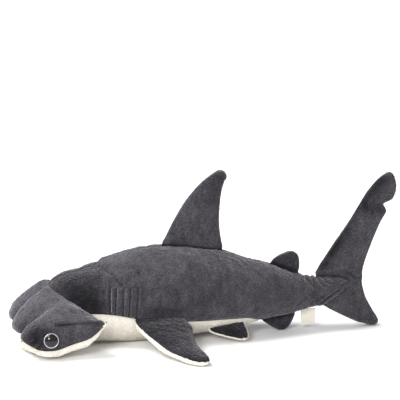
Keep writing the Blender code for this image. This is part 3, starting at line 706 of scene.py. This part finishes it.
def gill_threads():
    """The thread that holds each tuck, sunk at the bottom of its groove."""
    for number, gill in enumerate(GILLS, start=1):
        path = np.array(gill_path(gill), float)
        flat = curve(path, np.linspace(0.03, 0.97, 24))
        y = side_y(flat[:, 0], flat[:, 1]) - STITCH_DEPTH
        for label, flip in (("left", -1), ("right", 1)):
            line = np.stack([flat[:, 0], flip * y, flat[:, 1]], axis=-1)
            node = "gill_stitch_%s_%d" % (label, number)
            made = thread(node, line, 0.35, THREAD)
            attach(made, "torso")
            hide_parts(node)


# ---------------------------------------------------------------- head


def head_grid(half, us, vs):
    """Grid of the whole head, from the left end to the right one, out of its left half's net."""
    left = np.asarray(half, float)
    net = np.concatenate([left, mirror(left[-2::-1])])
    return curve(curve(net, us).transpose(1, 0, 2), vs)


def head_panels():
    us = np.linspace(0, 1, 190)
    vs = 0.5 - 0.5 * np.cos(math.pi * np.linspace(0, 1, 110))
    vs = 0.5 * vs + 0.5 * np.linspace(0, 1, 110)
    upper = head_grid(HEAD_TOP, us, vs)
    lower = head_grid(HEAD_BOTTOM, us, vs)
    columns = 2 * (len(HEAD_TOP) - 1)
    shared = np.minimum(us, 1 - us) <= TRAILING_COLUMNS / columns
    gap = np.where(shared[:, None], upper[-1] - lower[-1], 0.0)
    lower = lower + gap[None] * ease(0.6, 1.0, vs)[:, None, None]
    seams = ["left", "right", "first", "last"]

    top = Panel(upper, (0, 0, 1))
    top.sew(seams, height=1.2, seed=31)
    # Each crease between the lobes has painted shade in its groove.
    for path in (HEAD_CREASES[0], HEAD_CREASES[1], mirror(HEAD_CREASES[1])):
        top.crease(path, 2.4, 2.0, 0.6, swell=0.3, ends=0.25)
    for flip in (1, -1):
        side = (1, flip, 1)
        # The dart's groove is darkened: painted shade, and a stand-in for its dark stitches.
        top.crease(np.array(DART) * side, 1.5, 0.9, 1.0, swell=0.5, ends=0.04)
        eye_at = np.array(EYE_CENTRE) * side
        top.dent(eye_at, 9.0, 1.5)
        # Painted shade over the end face round each eye and in front of it, painted light on the top
        # of the hammer, and a small darker patch low on the front of the middle lobe.
        top.tint(eye_at + (-8, 0, 0), (20, 12, 15), -0.42)
        top.tint(np.array((-150, -44, 46)) * side, (30, 20, 20), 0.55)
        top.tint(np.array((-170, -18, 54)) * side, (20, 14, 16), 0.45)
        top.tint(eye_at + (-18, 4, 4), (10, 10, 12), -0.32)
        top.tint(np.array((-190, -31, 25)) * side, (6, 8, 8), -0.28)
        # Wrinkles round the eye, each with painted shade in its groove.
        for path in EYE_WRINKLES:
            top.crease(np.array(path) * side, 0.9, 1.1, 0.25, ends=0.3)
        # Painted highlight along the crests of the lobes.
        for path in LOBE_CRESTS:
            top.streak(np.array(path) * side, 3.6, 0.5)
    made = top.make("head_top_panel", DARK)
    finish_head(made, "plush_dark", "head_top_panel", "head_stuffing")

    bottom = Panel(lower, (0, 0, -1))
    bottom.sew(seams, seed=41)
    made = bottom.make("head_bottom_panel", WHITE)
    finish_head(made, "plush_white", "head_bottom_panel")


LOBE_CRESTS = [
    [(-188, -51, 22), (-185.5, -51, 27), (-180, -50.5, 33.5), (-171, -50, 38.5)],
    [(-194, -16, 24), (-191.5, -15, 30), (-187, -14, 36), (-178, -13, 44)],
]
EYE_WRINKLES = [
    [(-183, -62, 17), (-178, -64, 20), (-173, -65, 27)],
    [(-180, -63, 12), (-174, -64, 14), (-170, -65, 19)],
    [(-184, -61, 24), (-177, -63, 27), (-170, -64, 33)],
    [(-172, -64, 10), (-168, -64.5, 12), (-166, -65, 10)],
]


def finish_head(made, slot, *nodes):
    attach(made, "head")
    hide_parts(*nodes)


def eyes():
    for label, flip in (("left", 1), ("right", -1)):
        side = np.array((1, flip, 1))
        centre, axis = np.array(EYE_CENTRE) * side, np.array(EYE_AXIS) * side
        arc = np.linspace(0, math.pi / 2, 24)[:-1]
        dome = [(EYE_RADIUS * math.cos(a), EYE_RIM + (EYE_HEIGHT - EYE_RIM) * math.sin(a))
                for a in arc]
        profile = [(2.0, -6.8), (2.0, -0.4), (EYE_RADIUS - 0.1, -0.4), (EYE_RADIUS, 0.0)]
        made = lathe("eye_" + label, profile + dome + [(0.05, EYE_HEIGHT)], centre, axis, 64,
                     EYE_BLACK)
        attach(made, "head")
        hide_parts("eye_" + label)
        wire = [2 * math.pi * k / 16 for k in range(17)]
        ring = [(round(RING_RADIUS + RING_WIRE * math.cos(a), 4),
                 round(0.9 + 1.1 * RING_WIRE * math.sin(a), 4)) for a in wire]
        made = lathe("eye_ring_" + label, ring, centre, axis, 72, EYE_RING)
        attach(made, "head")
        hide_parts("eye_ring_" + label)
        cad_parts["eye_washer_" + label].data.materials.clear()
        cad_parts["eye_washer_" + label].data.materials.append(WASHER)


# ---------------------------------------------------------------- fins


def fin_normal(spec):
    """Unit vector from the fin's middle plane to its left or upper side."""
    front, rear = np.asarray(spec["front"], float), np.asarray(spec["rear"], float)
    normal = unit(np.cross(rear[0] - front[-1], rear[-1] - front[0]))
    upward = normal[2] if abs(normal[2]) > 0.1 else -normal[1]
    return normal if upward > 0 else -normal


def fin_point(spec, u, v, sign):
    """Points of the fin's skin: u from front to rear edge, v from root to tip, sign the side."""
    front = curve(spec["front"], v[:, 0])[:, None]
    rear = curve(spec["rear"], v[:, 0])[:, None]
    middle = front + (rear - front) * u[..., None]
    chord = np.linalg.norm(rear - front, axis=-1)
    half = np.minimum(spec["half"] * table(spec.get("fullness", FULLNESS), v),
                      FIN_STOUTEST * chord)
    closing = 1.0 if "trim" in spec else 1 - ease(FIN_TIP_START, 1.0, v)
    arch = 4 * u * (1 - u)
    thick = FIN_EDGE_HALF + half * closing * arch ** spec.get("edge", FIN_EDGE)
    if "bulge" in spec:
        thick = thick + spec["bulge"](middle) * arch ** 0.5
    return middle + sign * thick[..., None] * fin_normal(spec)


def fin_grid(spec, sign, columns, rows, trim=(0, 0, 0)):
    """Grid over one side of the fin, trimmed by so many mm at its front, rear and tip."""
    v = np.linspace(0, 1, rows)[:, None]
    if trim[2]:
        last = np.linalg.norm(curve(spec["front"], v[:, 0]) - np.asarray(spec["front"][-1]),
                              axis=-1)
        v = v * v[np.argmax(last < trim[2] + 1.0), 0]
    chord = np.linalg.norm(curve(spec["rear"], v[:, 0]) - curve(spec["front"], v[:, 0]),
                           axis=-1)[:, None]
    u = 0.5 - 0.5 * np.cos(math.pi * np.linspace(0, 1, columns))[None, :]
    low = np.minimum(trim[0] / np.maximum(chord, 1), 0.38)
    high = 1 - np.minimum(trim[1] / np.maximum(chord, 1), 0.38)
    u = low + (high - low) * u
    return fin_point(spec, u, v + 0 * u, sign)


def finish_fin(made, body, slot, *nodes):
    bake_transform(made)
    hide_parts(*nodes)


def upright_fin(name, columns, rows, seed, detail=None):
    """A fin of two dark panels sewn along its edge, standing in the shark's middle plane."""
    spec = FINS[name]
    for label, sign in (("left", 1), ("right", -1)):
        panel = Panel(fin_grid(spec, sign, columns, rows), sign * fin_normal(spec))
        sides = ["left", "right", "last"] + (["first"] if name == "tail_fin" else [])
        panel.sew(sides, height=0.8, reach=1.8, seed=seed + (0 if sign > 0 else 5))
        # Painted shade: the second dorsal and anal fins are made darker than the same plush
        # elsewhere.
        if name in ("second_dorsal_fin", "anal_fin"):
            panel.shade -= 0.35
        if detail:
            detail(panel)
        made = panel.make("%s_%s_panel" % (name, label), DARK)
        nodes = ["%s_%s_panel" % (name, label)]
        if label == "left":
            nodes.append(name + "_stuffing")
        finish_fin(made, name, "plush_dark", *nodes)


def flat_fin(name, columns, rows, seed):
    """A fin whose white lower panel wraps round its edge, with the dark panel sewn on top."""
    for label, flip in (("left", 1), ("right", -1)):
        spec = dict(FINS[name + "_left"])
        spec["front"] = np.array(spec["front"], float) * (1, flip, 1)
        spec["rear"] = np.array(spec["rear"], float) * (1, flip, 1)
        spec["hinge"] = [tuple(np.array(p, float) * (1, flip, 1)) for p in spec["hinge"]]
        body = "%s_%s" % (name, label)
        FINS[body] = spec
        over = fin_grid(spec, 1, columns, rows)
        under = fin_grid(spec, -1, columns, rows)
        ring = np.concatenate([under, over[:, ::-1][:, 1:-1], under[:, :1]], axis=1)
        white = pillow(body + "_bottom_panel", ring, seed)
        finish_fin(white, body, "plush_white", body + "_bottom_panel", body + "_stuffing")
        panel = Panel(fin_grid(spec, 1, columns, rows, spec["trim"]), fin_normal(spec))
        panel.raised -= 0.1
        # Painted shade: the dark top panel, which faces the lamps, is darkened well below the body's
        # plush.
        panel.shade -= 0.68
        panel.sew(["left", "right", "last"], height=1.5, reach=1.5, seed=seed + 3)
        dark = panel.make(body + "_top_panel", DARK)
        finish_fin(dark, body, "plush_dark", body + "_top_panel")


def pillow(name, ring, seed):
    """A closed skin out of rings [row][column] whose last column meets the first."""
    around = ring[:, :-1]
    out = unit(np.cross(np.roll(around, -1, axis=1) - np.roll(around, 1, axis=1),
                        np.gradient(around, axis=0)))
    middle = around.mean(axis=1, keepdims=True)
    if ((around - middle) * out).sum() < 0:
        out = -out
    rise = 0.1 + 0.5 * lumps(around, 22.0, seed) + 0.2 * lumps(around, 2.4, seed + 1)
    skin = around + out * rise[..., None]
    skin[..., 2] = np.maximum(skin[..., 2], 0.0)
    rows, columns = skin.shape[:2]
    index = np.arange(rows * columns).reshape(rows, columns)
    turned = np.roll(index, -1, axis=1)
    faces = np.stack([index[:-1], turned[:-1], turned[1:], index[1:]], axis=-1).reshape(-1, 4)
    faces = faces.tolist() + [index[0, ::-1].tolist(), index[-1].tolist()]
    across = skin[rows // 2, 1] - skin[rows // 2, 0]
    along = skin[rows // 2 + 1, 0] - skin[rows // 2, 0]
    if np.dot(np.cross(across, along), out[rows // 2, 0]) < 0:
        faces = [face[::-1] for face in faces]
    made = mesh_object(name, skin.reshape(-1, 3), faces, WHITE)
    # Painted shade: the white skin is dimmed to about three quarters, with a little uneven tone.
    add_shade(made, (0.72 + 0.12 * lumps(around, 18.0, seed + 2)).ravel())
    return made


def tail_swelling(middle):
    """How the tail thickens round the stalk's end."""
    x, z = middle[..., 0], middle[..., 2]
    return 2.4 * np.exp(-((x - 128) / 24) ** 2 - ((z - 41) / 17) ** 2)


def tail_detail(panel):
    side = (0, 2)
    # Creases with painted shade in their grooves; then a darker band along the leading edge, and
    # lighter and darker patches.
    panel.crease([(112, 54.5), (124, 56), (135, 55.4), (141.5, 52), (145, 47.4)], 1.5, 1.4,
                 0.6, side, ends=0.03)
    panel.crease([(145, 47), (137, 41.4), (128.4, 35.4), (119, 24.5)], 1.5, 1.4, 0.65, side,
                 ends=0.03)
    panel.crease([(131, 58.5), (141, 60), (149, 56), (153, 50)], 0.7, 1.8, 0.3, side)
    panel.crease([(138, 56.5), (147, 55.5), (156, 51), (160, 44)], 0.8, 1.8, 0.2, side)
    panel.crease([(121, 63), (128, 74), (140, 92)], 0.5, 3.0, 0.12, side)
    panel.streak([(119, 66), (134, 88), (150, 113), (163, 134), (178, 151)], 6.5, -0.6, side)
    panel.tint((172, 122), (12, 8), -0.45, side)
    panel.tint((160, 104), (8, 13), 0.22, side)
    panel.tint((186, 147), (7, 9), 0.10, side)
    panel.tint((148, 76), (12, 8), 0.12, side)


def dorsal_detail(panel):
    side = (0, 2)
    # A painted shadow along the fin's root, in its crease.
    panel.crease([(-48, 93.6), (-20, 92.2), (18, 86)], 0.9, 1.8, 0.8, side, ends=0.0)
    panel.crease([(9, 162), (15, 160), (19, 155)], 0.9, 1.6, 0.35, side)
    panel.tint((0, 130), (14, 20), -0.08, side)
    panel.tint((-18, 126), (8, 18), 0.10, side)


def root_detail(panel):
    side = (0, 2)
    # Painted shadow along each fin's root, in its crease.
    panel.crease([(64, 71), (80, 66.4), (96, 59.5)], 0.6, 1.8, 0.7, side, ends=0.0)
    panel.crease([(56, 13.5), (74, 16), (93, 19.5)], 0.6, 1.6, 0.6, side, ends=0.0)


def fins():
    FINS["tail_fin"]["bulge"] = tail_swelling
    upright_fin("dorsal_fin", 64, 90, 51, dorsal_detail)
    upright_fin("second_dorsal_fin", 40, 40, 61, root_detail)
    upright_fin("anal_fin", 40, 40, 71, root_detail)
    upright_fin("tail_fin", 60, 230, 81, tail_detail)
    flat_fin("pectoral_fin", 64, 96, 91)
    flat_fin("pelvic_fin", 44, 44, 97)


# ---------------------------------------------------------------- care label


def care_label():
    """Blank ribbon, folded at its lower edge, with a slight wave."""
    across = np.linspace(-0.5, 0.5, 41)
    down = np.linspace(0, 1, 41)
    half = LABEL_FOLD
    bend = np.linspace(0, math.pi, 13)
    y = np.concatenate([np.full(41, -half), -half * np.cos(bend)[1:-1], np.full(41, half)])
    drop = np.concatenate([down, 1 + half / LABEL_SIZE[1] * np.sin(bend)[1:-1], down[::-1]])
    x = LABEL_CENTRE_X + LABEL_SIZE[0] * across[None, :] + 0 * y[:, None]
    z = LABEL_TOP - LABEL_SIZE[1] * drop[:, None] + 0 * x
    sway = drop[:, None] * (1.3 * np.sin(3.4 * across[None, :] + 0.6) - 1.2)
    outer = np.stack([x, y[:, None] + sway, z], axis=-1)
    inner = outer.copy()
    inner[..., 1] -= 0.22 * np.sign(y)[:, None]
    centre = Panel(outer, (0, -1, 0))
    made = shell("care_label", outer, inner, np.ones(outer.shape[:-1]), centre.turned, LABEL)
    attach(made, "care_label")
    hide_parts("care_label")


# ---------------------------------------------------------------- stage


def floor():
    n = Nodes("floor")
    colour = n.add("ShaderNodeMix", {"Factor": n.noise(3, 2.0), "A": (0.93, 0.93, 0.93, 1),
                                     "B": (0.95, 0.95, 0.95, 1)}, data_type="RGBA")
    material = n.finish(Base_Color=colour.outputs["Result"], Roughness=0.9)
    corners = [(x * FLOOR_REACH, y * FLOOR_REACH, 0) for x, y in ((-1, -1), (1, -1), (1, 1), (-1, 1))]
    made = mesh_object("floor", corners, [(0, 1, 2, 3)], material)
    made.location.z = -FLOOR_GAP


def aim(item, target):
    item.rotation_euler = (Vector(target) - item.location).to_track_quat("-Z", "Y").to_euler()


def lights():
    world = bpy.data.worlds.new("studio")
    world.use_nodes = True
    background = world.node_tree.nodes["Background"]
    background.inputs["Color"].default_value = (1.0, 1.0, 1.0, 1)
    background.inputs["Strength"].default_value = SKY_STRENGTH
    bpy.context.scene.world = world
    sun = bpy.data.lights.new("key", "SUN")
    sun.energy = SUN_STRENGTH
    sun.angle = math.radians(SUN_SPREAD)
    key = bpy.data.objects.new("key", sun)
    key.location = SUN_AT
    aim(key, (0, 0, 0))
    bpy.context.collection.objects.link(key)
    lamp = bpy.data.lights.new("window", "AREA")
    lamp.size = WINDOW_SIZE
    lamp.energy = WINDOW_WATTS
    window = bpy.data.objects.new("window", lamp)
    window.location = WINDOW_AT
    aim(window, WINDOW_AIM)
    bpy.context.collection.objects.link(window)


def camera():
    lens = bpy.data.cameras.new("camera")
    lens.sensor_width = CAMERA_SENSOR
    lens.lens = CAMERA_LENS
    lens.clip_start, lens.clip_end = 0.05, 50.0
    made = bpy.data.objects.new("camera", lens)
    made.location = CAMERA_AT
    aim(made, CAMERA_AIM)
    bpy.context.collection.objects.link(made)
    bpy.context.scene.camera = made


bpy.context.scene.view_settings.view_transform = "Standard"
camera()
lights()
floor()
back_panel(1)
back_panel(-1)
belly()
gill_threads()
head_panels()
eyes()
fins()
care_label()
